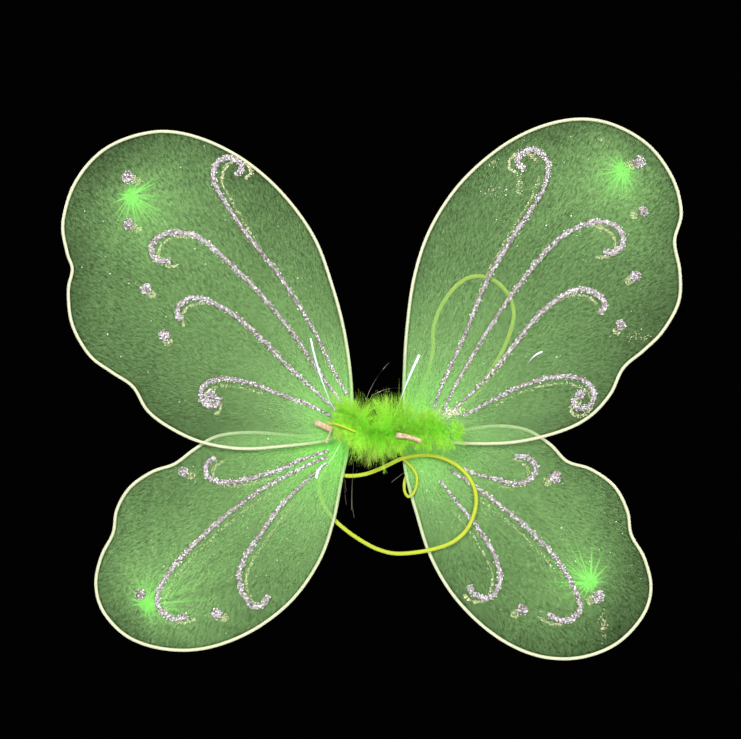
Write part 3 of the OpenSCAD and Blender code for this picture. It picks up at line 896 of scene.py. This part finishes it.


# ---------------------------------------------------------------- glitter

# Flake tints: the white and near-white ones are painted glints; the rest are the glitter's own lilac, tan and brown
# tones, down to near black
FLAKE_TINTS_AND_GLINTS = [
    (1.0, 1.0, 1.0), (1.0, 1.0, 1.0), (0.90, 0.88, 1.0), (0.60, 0.54, 0.74), (0.52, 0.42, 0.42), (0.40, 0.30, 0.27),
    (0.36, 0.33, 0.24), (0.26, 0.19, 0.16), (0.16, 0.13, 0.11), (0.08, 0.07, 0.06), (0.06, 0.05, 0.05),
]
FLAKE_SPREAD, FLAKE_EDGE = 0.62, 1.45  # across a stroke, in its half widths
SOAKED_TINTS = [
    (0.66, 0.66, 0.30), (0.62, 0.50, 0.30), (0.95, 0.95, 0.75), (0.26, 0.30, 0.10), (0.30, 0.22, 0.12),
]
STROKE_FLAKES, STROKE_SOAKED = 9.2, 3.0  # for each millimetre of a stroke
DOT_FLAKES, DOT_SOAKED = 7, 5  # for a dot of 1 mm radius, and more with its area
STRAYS = 90  # single flakes all over a wing
SOAKED_DEPTH = 0.9 * MM  # how far in front of the back layer the soaked flakes lie, clear of its folds
# the near-white spill tint is a painted glint; the others are the glitter's own tones
SPILL_TINTS_AND_GLINTS = [
    (0.80, 0.72, 0.45), (0.62, 0.45, 0.33), (0.95, 0.9, 0.95), (0.55, 0.42, 0.40), (0.66, 0.66, 0.30),
]
# Spilt and smeared glitter: X, Z and the spread each way in millimetres, how many flakes, and whether it
# has soaked through to the back layer
SPILLS = {
    "upper_right": [(54.6, 13.8, 6.5, 2.2, 240, False), (88.2, 181.4, 5, 3, 26, False),
                    (86.7, 203.5, 2.5, 1.4, 34, True), (106.5, 187.5, 1.6, 5.5, 70, True),
                    (170.5, 218.8, 2.5, 1.5, 20, True), (166.7, 154.0, 3.5, 1.6, 28, True),
                    (196.4, 71.0, 5, 2.5, 30, True)],
    "lower_right": [(172.0, -147.8, 1.5, 5.0, 70, True)],
}


def strokes(wing):
    """Each glitter line of a wing as its middle points and half widths, from the root outwards."""
    found = []
    for loop in front_outlines(f"{wing.name}_swirls"):
        middles = (loop + np.roll(loop, -1, axis=0)) / 2
        first = int(np.argmin(lengths(middles - wing.root)))
        loop = np.roll(loop, -(first + 1), axis=0)
        half = len(loop) // 2
        one, other = loop[:half], loop[::-1][:half]
        found.append(((one + other) / 2, lengths(one - other) / 2))
    return found


def dots(wing):
    """Each glitter dot of a wing as its middle and radius."""
    found = []
    for points in islands(f"{wing.name}_dots"):
        low, high = points.min(0), points.max(0)
        found.append((np.array([(low[0] + high[0]) / 2, (low[2] + high[2]) / 2]), (high[0] - low[0]) / 2))
    return found


def bead(middle, half, base_y, rng):
    """A rounded bead of glue along a stroke, with uneven edges and round ends."""
    middle = smooth_route(middle, 3)
    half = np.interp(np.linspace(0, 1, len(middle)), np.linspace(0, 1, len(half)), half)
    h = headings(middle)
    across = np.stack([-h[:, 1], h[:, 0]], 1)
    order = np.arange(len(middle))
    ends = np.minimum(1, np.sqrt(np.minimum(order, order[::-1]) / 2.5 + 0.02))
    seed = rng.uniform(0, 50)
    across_n, verts = 9, []
    for i in range(len(middle)):
        wide = 0.9 * half[i] * ends[i] * (1 + 0.22 * noise.noise(Vector((*middle[i], seed)) * 420))
        for k in range(across_n):
            t = -1 + 2 * k / (across_n - 1)
            lump = 1 + 0.35 * noise.noise(Vector((middle[i][0], t * 0.002, middle[i][1] + seed)) * 900)
            rise = 0.5 * MM * sqrt(max(0, 1 - t * t)) * lump * ends[i]
            x, z = middle[i] + across[i] * wide * t
            verts.append((x, base_y - rise, z))
    starts = range(0, len(verts), across_n)
    back = [(a, b, b + across_n - 1, a + across_n - 1) for a, b in zip(starts, starts[1:])]
    caps = [tuple(range(across_n)), tuple(range(starts[-1], len(verts)))[::-1]]
    return verts, grid(len(middle), across_n) + back + caps, []


def lump(middle, radius, base_y, rng):
    """A round dot of glue with an uneven edge."""
    seed = rng.uniform(0, 50)
    across, rings, high = 28, 6, 0.7 * MM
    verts = [(middle[0], base_y - high, middle[1])]
    for k in range(1, rings + 1):
        share = k / rings
        for i in range(across):
            a = 2 * pi * i / across
            uneven = 1 + 0.14 * noise.noise(Vector((cos(a), sin(a), seed)) * 1.7)
            rise = high * sqrt(max(0, 1 - share**2)) * (1 + 0.2 * noise.noise(Vector((a, share * 3, seed))))
            verts.append((middle[0] + radius * share * uneven * cos(a), base_y - rise,
                          middle[1] + radius * share * uneven * sin(a)))
    faces = [(0, 1 + i, 1 + (i + 1) % across) for i in range(across)]
    faces += [(a, d, c, b) for a, b, c, d in grid(rings, across, 1, closed=True)]
    return verts, faces + [tuple(range(len(verts) - across, len(verts)))], []


def flake(place_at, size, tilt, rng):
    """The six corners of a flake, tilted at random by up to tilt from facing the front."""
    facing = Vector((rng.gauss(0, tilt), -1, rng.gauss(0, tilt))).normalized()
    turn = facing.to_track_quat("Z", "Y")
    spin = rng.uniform(0, pi)
    corners = [spin + k * pi / 3 for k in range(6)]
    return [Vector(place_at) + turn @ Vector((size * cos(a), size * sin(a), 0)) for a in corners]


class Flakes:
    """Gathers flakes into one mesh with a tint for each. Each is dropped at X and Z, rise in front of y."""

    def __init__(self, rng, y, tints):
        self.rng, self.y, self.tints = rng, y, tints
        self.verts, self.faces, self.colours = [], [], []

    def drop(self, x, z, rise, sizes, tilt, tints=None):
        size = self.rng.uniform(*sizes) * MM
        tint = self.rng.choice(tints or self.tints)
        shade = self.rng.uniform(0.8, 1.05)
        start = len(self.verts)
        self.verts += flake((x, self.y - rise, z), size, tilt, self.rng)
        self.faces.append(tuple(range(start, start + 6)))
        self.colours += [(*(min(1, c * shade) for c in tint), 1)] * 6

    def soak(self, x, z):
        self.drop(x, z, SOAKED_DEPTH, (0.25, 0.5), 0.25)

    def put(self, kind, wing, material):
        shape = self.verts, self.faces, []
        wing.put(kind, shape, material, (), "glitter_glue", tints=self.colours, smooth=False)


def make_glitter(wing, glue, front_flakes, soaked_flakes, seed):
    """Beads of glue, the glitter in and on them, and what has soaked through to the back layer."""
    rng = random.Random(seed)
    front_y = wing.plane - wing.layer
    loose = Flakes(rng, front_y, FLAKE_TINTS_AND_GLINTS)
    soaked = Flakes(rng, wing.plane + wing.layer, SOAKED_TINTS)
    beads = []

    def slipped(at):
        """Where the back layer holds what soaked through at a point.

        The layers slid further apart higher up.
        """
        height = clamp((at[1] - 0.05) / 0.12) if wing.name.startswith("upper") else 0.8
        return at + np.array([-wing.side * (1.5 + 5.3 * height), -5.5 + 3.0 * height]) * MM

    for middle, half in strokes(wing):
        last = len(middle) - 1

        def anywhere():
            """A random place on the stroke, and the index of the point before it."""
            s = rng.random() * last
            i = int(s)
            return middle[i] + (middle[min(i + 1, last)] - middle[i]) * (s - i), i

        beads.append(bead(middle, half, front_y, rng))
        length = route_length(middle)
        for _ in range(int(length / MM * STROKE_FLAKES)):
            at, i = anywhere()
            heading = middle[min(i + 1, last)] - middle[max(i - 1, 0)]
            heading = heading / np.linalg.norm(heading)
            t = clamp(rng.gauss(0, FLAKE_SPREAD), -FLAKE_EDGE, FLAKE_EDGE)
            x, z = at + half[i] * t * np.array([-heading[1], heading[0]])
            rise = 0.66 * MM * sqrt(max(0, 1 - t * t)) + rng.uniform(0.03, 0.3) * MM
            loose.drop(x, z, rise, (0.28, 0.56), 0.4)
        for _ in range(int(length / MM * STROKE_SOAKED)):
            at = slipped(anywhere()[0])
            bare = noise.noise(Vector((at[0], seed, at[1])) * 30) < -0.22
            if bare or np.linalg.norm(at - wing.root) < 0.07:
                continue
            soaked.soak(*(at + np.array([rng.gauss(0, 0.65), rng.gauss(0, 0.65)]) * MM))
    for middle, radius in dots(wing):
        beads.append(lump(middle, radius, front_y, rng))
        for _ in range(int((radius / MM) ** 2 * DOT_FLAKES)):
            a, r = rng.uniform(0, 2 * pi), sqrt(rng.random()) * 1.12
            rise = 0.9 * MM * sqrt(max(0, 1 - r * r)) + rng.uniform(0.03, 0.3) * MM
            loose.drop(middle[0] + radius * r * cos(a), middle[1] + radius * r * sin(a), rise,
                       (0.28, 0.6), 0.5)
        for _ in range(int((radius / MM) ** 2 * DOT_SOAKED)):
            a, r = rng.uniform(0, 2 * pi), sqrt(rng.random())
            soaked.soak(*(slipped(middle) + radius * 0.85 * r * np.array([cos(a), sin(a)])))
    outline = [Vector(p) for p in inward(wing.line, 4 * MM)]
    low, high = wing.line.min(0), wing.line.max(0)
    strays = 0
    while strays < STRAYS:
        x, z = rng.uniform(low[0], high[0]), rng.uniform(low[1], high[1])
        if inside_outline((x, z), outline):
            strays += 1
            loose.drop(x, z, 0.12 * MM, (0.15, 0.42), 0.3)
    for x, z, spread_x, spread_z, count, on_back in SPILLS.get(wing.name, ()):
        for _ in range(count):
            at = np.array([x + rng.gauss(0, spread_x), z + rng.gauss(0, spread_z)]) * MM
            if not inside_outline(at, outline):
                continue
            if on_back:
                soaked.soak(*at)
            else:
                loose.drop(*at, 0.15 * MM, (0.2, 0.5), 0.3, SPILL_TINTS_AND_GLINTS)
    wing.put("glue_beads", join(beads), glue, ["swirls", "dots"], "glitter_glue", fix=True)
    loose.put("glitter", wing, front_flakes)
    soaked.put("soaked_glitter", wing, soaked_flakes)


def inside_outline(point, outline):
    """True if a point in X and Z lies inside a closed outline."""
    x, z = point
    inside = False
    for a, b in zip(outline, outline[1:] + outline[:1]):
        if (a.y > z) != (b.y > z) and x < (b.x - a.x) * (z - a.y) / (b.y - a.y) + a.x:
            inside = not inside
    return inside


# ---------------------------------------------------------------- marabou and tinsel

# How far the down reaches above and below its middle line: X, up and down
REACH = [
    (-0.034, 0.007, 0.007), (-0.028, 0.016, 0.014), (-0.022, 0.027, 0.022), (-0.016, 0.031, 0.028),
    (-0.011, 0.020, 0.030), (-0.006, 0.012, 0.028), (-0.002, 0.022, 0.026), (0.003, 0.035, 0.025),
    (0.009, 0.039, 0.024), (0.015, 0.036, 0.021), (0.021, 0.027, 0.019), (0.030, 0.021, 0.017),
    (0.045, 0.017, 0.016), (0.054, 0.012, 0.012), (0.059, 0.007, 0.007),
]
# The middle line of the down: X, Y and Z
CORE = [
    (-0.030, -0.0155, 0.006), (-0.020, -0.014, 0.004), (-0.010, -0.0125, 0.0), (0, -0.012, -0.003),
    (0.010, -0.0125, -0.001), (0.022, -0.016, 0.0), (0.040, -0.0165, -0.001), (0.060, -0.0155, -0.002),
]
DOWN_START, DOWN_SPAN = -0.031, 0.093  # where the plumes grow, along X
SHORTEST = 0.0115  # of the plumes, those that point to the front
PLUMES, BARBS, BARB_STEPS = 210, 150, 4
WISPS, WISP_BARBS = 70, 26  # longer plumes with few barbs, which soften the outline
DOWN_ROOT, DOWN_TIP = (0.43, 0.99, 0.06), (0.51, 0.70, 0.13)
FRONT_SOFT_Y, FRONT_Y = -0.029, -0.0385  # barbs past the first give way, and none comes past the second
BEHIND_MIDDLE_Y, BEFORE_WING_Y = 0.012, -0.0078  # how far back the down goes
WINDING_Y = -0.0225  # the front of the right winding
PUSH = 0.05  # what is left of a barb's way into what it has to keep clear of


def keep_clear(at):
    """Moves a point of the down off the elastic end, the right winding, the wings and the front limit."""
    along = (at.x + 0.038) / 0.021
    beside = abs(at.z - 0.006 + 0.007 * along)
    if -0.15 < along < 1.4 and beside < 0.013:
        floor = -0.0095 - 0.9 * max(0.0, beside - 0.0024) - 0.019 * max(0.0, along - 0.85)
        if at.y < floor:
            at.y = floor + PUSH * (at.y - floor)
    along = (at.x - 0.013) / 0.020
    if 0 < along < 0.85 and abs(at.z + 0.003 + 0.005 * along) < 0.0035 and at.y < WINDING_Y:
        at.y = WINDING_Y + PUSH * (at.y - WINDING_Y)
    over_wing = clamp((abs(at.x) - 0.013) / 0.004)
    limit = BEHIND_MIDDLE_Y * (1 - over_wing) + BEFORE_WING_Y * over_wing
    if at.y > limit:
        at.y = limit - 0.1 * (at.y - limit)
    if at.y < FRONT_SOFT_Y:
        room = FRONT_SOFT_Y - FRONT_Y
        at.y = FRONT_SOFT_Y - room * tanh((FRONT_SOFT_Y - at.y) / room)
    return at


def barb(foot, out, curl, length, rng):
    """One fine barb of a plume: its points, and how far up the plume it starts, from 0 to 1."""
    t0 = rng.random() ** 1.3 * 0.9
    start = foot + out * (length * t0) + curl * (length * t0 * t0)
    heading = (out + curl * (2 * t0)).normalized()
    to_side = heading.cross(Vector((rng.gauss(0, 1), rng.gauss(0, 1), rng.gauss(0, 1)))).normalized()
    lean = rng.uniform(0.3, 1.25)
    long = length * rng.uniform(0.35, 1.0) * (1.02 - t0)
    points = []
    for i in range(BARB_STEPS + 1):
        t = i / BARB_STEPS
        points.append(start + (heading * t + to_side * (lean * t * (1 - 0.45 * t))) * long)
    return points, t0


LEFT_OF, RIGHT_OF = -0.012, 0.012  # the X at which the left and the right piece of the down begin


def three_pieces(kind):
    """The nodes of the left, the middle and the right part of what lies over the centre, and their bodies."""
    return {f"{kind}_left": "left_root", f"{kind}_centre": "centre", f"{kind}_right": "right_root"}


def make_marabou(material):
    """Soft plumes that curl out of the strip's middle line, with fine barbs all round each."""
    rng = random.Random(77)
    reach_x, reach_up, reach_down = zip(*REACH)
    core_x, core_y, core_z = zip(*CORE)
    parts = {name: ([], [], []) for name in three_pieces("marabou")}
    for number in range(PLUMES + WISPS):
        wisp = number >= PLUMES
        x = DOWN_START + DOWN_SPAN * ((number - PLUMES) / WISPS if wisp else (number + rng.random()) / PLUMES)
        base = Vector((x, np.interp(x, core_x, core_y), np.interp(x, core_x, core_z)))
        turn = rng.uniform(0, 2 * pi)
        out = Vector((rng.gauss(0, 0.22) + 0.5 * (x > 0.053) - 0.4 * (x < -0.024), cos(turn), sin(turn)))
        if out.y > 0.25 and not (abs(x) < 0.012 and rng.random() < 0.6):
            out.y *= -0.8
        out.normalize()
        up_down = np.interp(x, reach_x, reach_up if out.z > 0 else reach_down)
        length = SHORTEST + (up_down - SHORTEST) * abs(out.z) ** 1.3
        length *= rng.uniform(0.95, 1.2) if wisp else rng.uniform(0.7, 0.98)
        base += Vector((0, -abs(rng.gauss(0, 1.5)), rng.gauss(0, 3.0))) * MM * clamp(abs(x) / 0.015)
        curl = Vector((rng.gauss(0, 0.2), rng.gauss(0, 0.12) - 0.05, rng.gauss(0, 0.2)))
        name = "marabou_left" if x < LEFT_OF else "marabou_right" if x > RIGHT_OF else "marabou_centre"
        verts, faces, colours = parts[name]
        olive = rng.random() ** 2
        thin_out = clamp(1.1 - (x - 0.02) / 0.045, 0.35)
        for _ in range(WISP_BARBS if wisp else int(BARBS * thin_out)):
            points, t0 = barb(base, out, curl, length, rng)
            width = rng.uniform(0.07, 0.15) * MM
            lean = Vector((rng.gauss(0, 1), rng.gauss(0, 1) - 1.5, rng.gauss(0, 1)))
            side = (points[-1] - points[0]).cross(lean)
            side.normalize()
            shade = rng.uniform(0.8, 1.06)
            start = len(verts)
            for i, at in enumerate(points):
                t = i / BARB_STEPS
                half = side * (width * (1 - 0.7 * t) / 2)
                reach = t0 + (1 - t0) * t
                mix = min(1, reach**2 * (0.35 + 0.8 * olive) + 0.15 * olive)
                colour = [shade * (a + (b - a) * mix) for a, b in zip(DOWN_ROOT, DOWN_TIP)]
                for v in (at - half, at + half):
                    verts.append(keep_clear(v))
                    colours.append((*(min(1, c) for c in colour), 1))
            faces += grid(BARB_STEPS + 1, 2, start)
    for name, body in three_pieces("marabou").items():
        verts, faces, colours = parts[name]
        put(f"{name}_down", (verts, faces, []), material, body, [name], "marabou", tints=colours)


# Strands beside the CAD model's own: start and end, and the width at the free end, all in millimetres
STRANDS = {
    "tinsel_left": [((-26, -13, -3), (-41, -15, -26), 0.2), ((-40, -15, -25), (-46.5, -16, -36), 2.0),
                    ((-28, -13, 2), (-42, -12, -24), 0.2), ((-26, -12, -2), (-24, -9, -56), 0.2)],
    "tinsel_centre": [((-10, -20, 6), (6, -23, 13), 0.2), ((-16, -12, -30), (-18, -9, -66), 0.2)],
    "tinsel_right": [((18, -16, 14), (46, -15, 19), 0.2), ((15, -23, -9), (26, -24, -19), 0.2),
                     ((27, -12, 22), (36, -10, 44), 0.2), ((113, -12.5, 50), (124, -12, 59.5), 1.0)],
}
# How wide each strand of the CAD model is at its free end, from left to right
FILM_WIDTHS = {"tinsel_left": [0.35, 1.3, 0.35, 0.3], "tinsel_centre": [0.3, 0.3, 0.4],
               "tinsel_right": [0.4, 1.6, 0.35, 0.3]}
BROAD_FILM = 0.7  # from this width on a strand is bright film that faces the front
RIBBON_STEPS, SAG = 14, 2.5 * MM
# the second tint is painted shade: narrow strands are the same film, darkened as if seen edge-on with no light on
# them
FILM_TINT, EDGE_ON_SHADE_TINT = (0.8, 0.84, 0.95, 1), (0.20, 0.17, 0.12, 1)


def ribbon(ends, width, rng):
    """A film strand, slightly curved and twisted, that widens towards its free end."""
    start, end = sorted((Vector(ends[0]), Vector(ends[1])), key=lambda end: end.length)
    along = (end - start).normalized()
    side = along.cross(Vector((0, 1, 0))).normalized()
    curve = side * rng.uniform(-1, 1) * SAG + Vector((0, -abs(rng.gauss(0, 0.3)) * SAG, 0))
    broad = width > BROAD_FILM * MM
    narrow = 0.15 if broad else 1.0
    turn0, turns = rng.uniform(0, 3.1), rng.uniform(-1.2, 1.2)
    if broad:
        turn0, turns = 0.1 * turn0, 0.1 * turns
    verts = []
    for i in range(RIBBON_STEPS + 1):
        t = i / RIBBON_STEPS
        at = start.lerp(end, t) + curve * (4 * t * (1 - t))
        a = turn0 + turns * t * pi
        across = side * cos(a) + along.cross(side) * sin(a)
        half = width / 2 * (narrow + (1 - narrow) * min(1, 1.6 * t) ** 2)
        verts += [at - across * half, at + across * half]
    return verts, grid(RIBBON_STEPS + 1, 2), []


def make_tinsel(material):
    """Broad strips of bright film that face the front, and thin strands of the same film tinted dark as painted
    shade of film seen edge-on, each from the middle outwards.
    """
    rng = random.Random(5)
    for node, body in three_pieces("tinsel").items():
        strands = [(rod_ends(points), width) for points, width in zip(islands(node), FILM_WIDTHS[node])]
        strands += [((np.array(start) * MM, np.array(end) * MM), width)
                    for start, end, width in STRANDS[node]]
        parts = [ribbon(ends, width * MM, rng) for ends, width in strands]
        # narrow strands take the painted shade tint
        tints = [FILM_TINT if width > BROAD_FILM else EDGE_ON_SHADE_TINT
                 for (strand, *_), (_, width) in zip(parts, strands) for _ in strand]
        put(f"{node}_film", join(parts), material, body, [node], "tinsel", tints=tints)


# ---------------------------------------------------------------- the centre

THREAD_END_ROUTE = [(-35, -9, 0.5), (-36.5, -10, -2), (-37.5, -10, -5), (-39.5, -9.5, -8), (-38, -9.5, -9.5)]


def make_centre(thread, elastic, steel, cream):
    """The binding, the lashings, the links, the knots, the windings and the loose ends of the middle."""
    low, high = cad_box("centre_binding")
    radius = (high[2] - low[2]) / 2
    rng = random.Random(3)
    x0, x1 = low[0] + BINDING_THREAD, high[0] - BINDING_THREAD
    inner = coil([(x0, 0, 0), (x1, 0, 0)], radius - 1.4 * BINDING_THREAD, BINDING_THREAD, rng)
    x0, x1 = low[0] + 2 * BINDING_THREAD, high[0] - 2 * BINDING_THREAD
    outer = coil([(x1, 0, 0), (x0, 0, 0)], radius - 0.5 * BINDING_THREAD, BINDING_THREAD, rng, 0.8)
    put("centre_thread_binding", join([inner, outer]), thread, "centre", ["centre_binding"], "thread")
    for side in ("left", "right"):
        make_lashing(side, thread, rng)
        show_in(f"{side}_link", steel)
    show_in("centre_spine", cream)
    knot("left_overhand_knot", "left_loop_knot", "centre", elastic)
    knot("right_overhand_knot", "right_loop_knot", "right_root", elastic)
    winding("left_thread_winding", "left_winding", "left_root", thread, 11, 0, 1.0)
    winding("right_thread_winding", "right_winding", "right_root", thread, 21, 1.1, 0.42)
    ends = rod_ends(islands("left_elastic_stub")[0])
    middle = (ends[0] + ends[1]) / 2 + np.array([0, 0, 0.8 * MM])
    stub = tube(smooth_route([ends[0], middle, ends[1]], 8), 1.0 * MM, 12)
    put("left_elastic_end", stub, elastic, "left_root", ["left_elastic_stub"], "elastic")
    curl = tube(smooth_route(np.array(THREAD_END_ROUTE) * MM, 6), 0.45 * MM, 6)
    put("left_thread_end", curl, thread, "left_root", (), "thread")


def show_in(node, material):
    """A CAD node that stays as it is, in a finished material."""
    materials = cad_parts[node].data.materials
    materials.clear()
    materials.append(material)


def make_lashing(side, thread, rng):
    """A coil along Y through the wing roots, with two flat spirals of thread at each end."""
    low, high = cad_box(f"{side}_lashing")
    x, z = (low[0] + high[0]) / 2, (low[2] + high[2]) / 2
    parts = [coil([(x, low[1] + 1.6 * MM, z), (x, high[1] - 1.6 * MM, z)], 1.55 * MM, LASHING_THREAD, rng)]
    turns = np.linspace(0, 2 * pi * 6, 6 * 24)
    reach = np.linspace(0.15, 1, len(turns)) * ((high[0] - low[0]) / 2 - LASHING_THREAD / 2)
    top, under = LASHING_THREAD / 2, LASHING_THREAD * 1.4
    for y in (low[1] + top, low[1] + under, high[1] - top, high[1] - under):
        line = np.stack([x + reach * np.cos(turns), np.full(len(turns), y), z + reach * np.sin(turns)], 1)
        parts.append(tube(line, LASHING_THREAD * 0.55, 6))
    put(f"{side}_thread_lashing", join(parts), thread, f"{side}_root", [f"{side}_lashing"], "thread")


# ---------------------------------------------------------------- build

make_camera()
make_lights()
elastic = elastic_material()
left_loop = free_elastic("left_shoulder_loop", LEFT_LOOP_ROUTE, LOOP_D, elastic)
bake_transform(left_loop)
right_loop = free_elastic("right_shoulder_loop", RIGHT_LOOP_ROUTE, LOOP_D,
                          elastic)
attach(right_loop, "right_root")
tail = free_elastic("elastic_tail", TAIL_ROUTE, TAIL_D, elastic)
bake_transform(tail)
make_floor()

cream, steel, thread = paint_material(), steel_material(), thread_material()
gathered, pleats, glue = gathered_material(), pleat_material(), glue_material()
front_flakes = flake_material("glitter_flakes", 0.15)
soaked_flakes = flake_material("soaked_glitter_flakes", 0.1)
for number, name in enumerate(WINGS):
    wing = Wing(name)
    make_wire(wing, cream)
    make_nylon(wing, 3.1 * number + 1)
    make_root_gather(wing, gathered, number)
    make_end_gather(wing, gathered, thread, number)
    make_pleats(wing, pleats, 60 + number)
    make_glitter(wing, glue, front_flakes, soaked_flakes, 40 + number)
make_centre(thread, elastic, steel, cream)
make_marabou(down_material())
make_tinsel(tinsel_material())
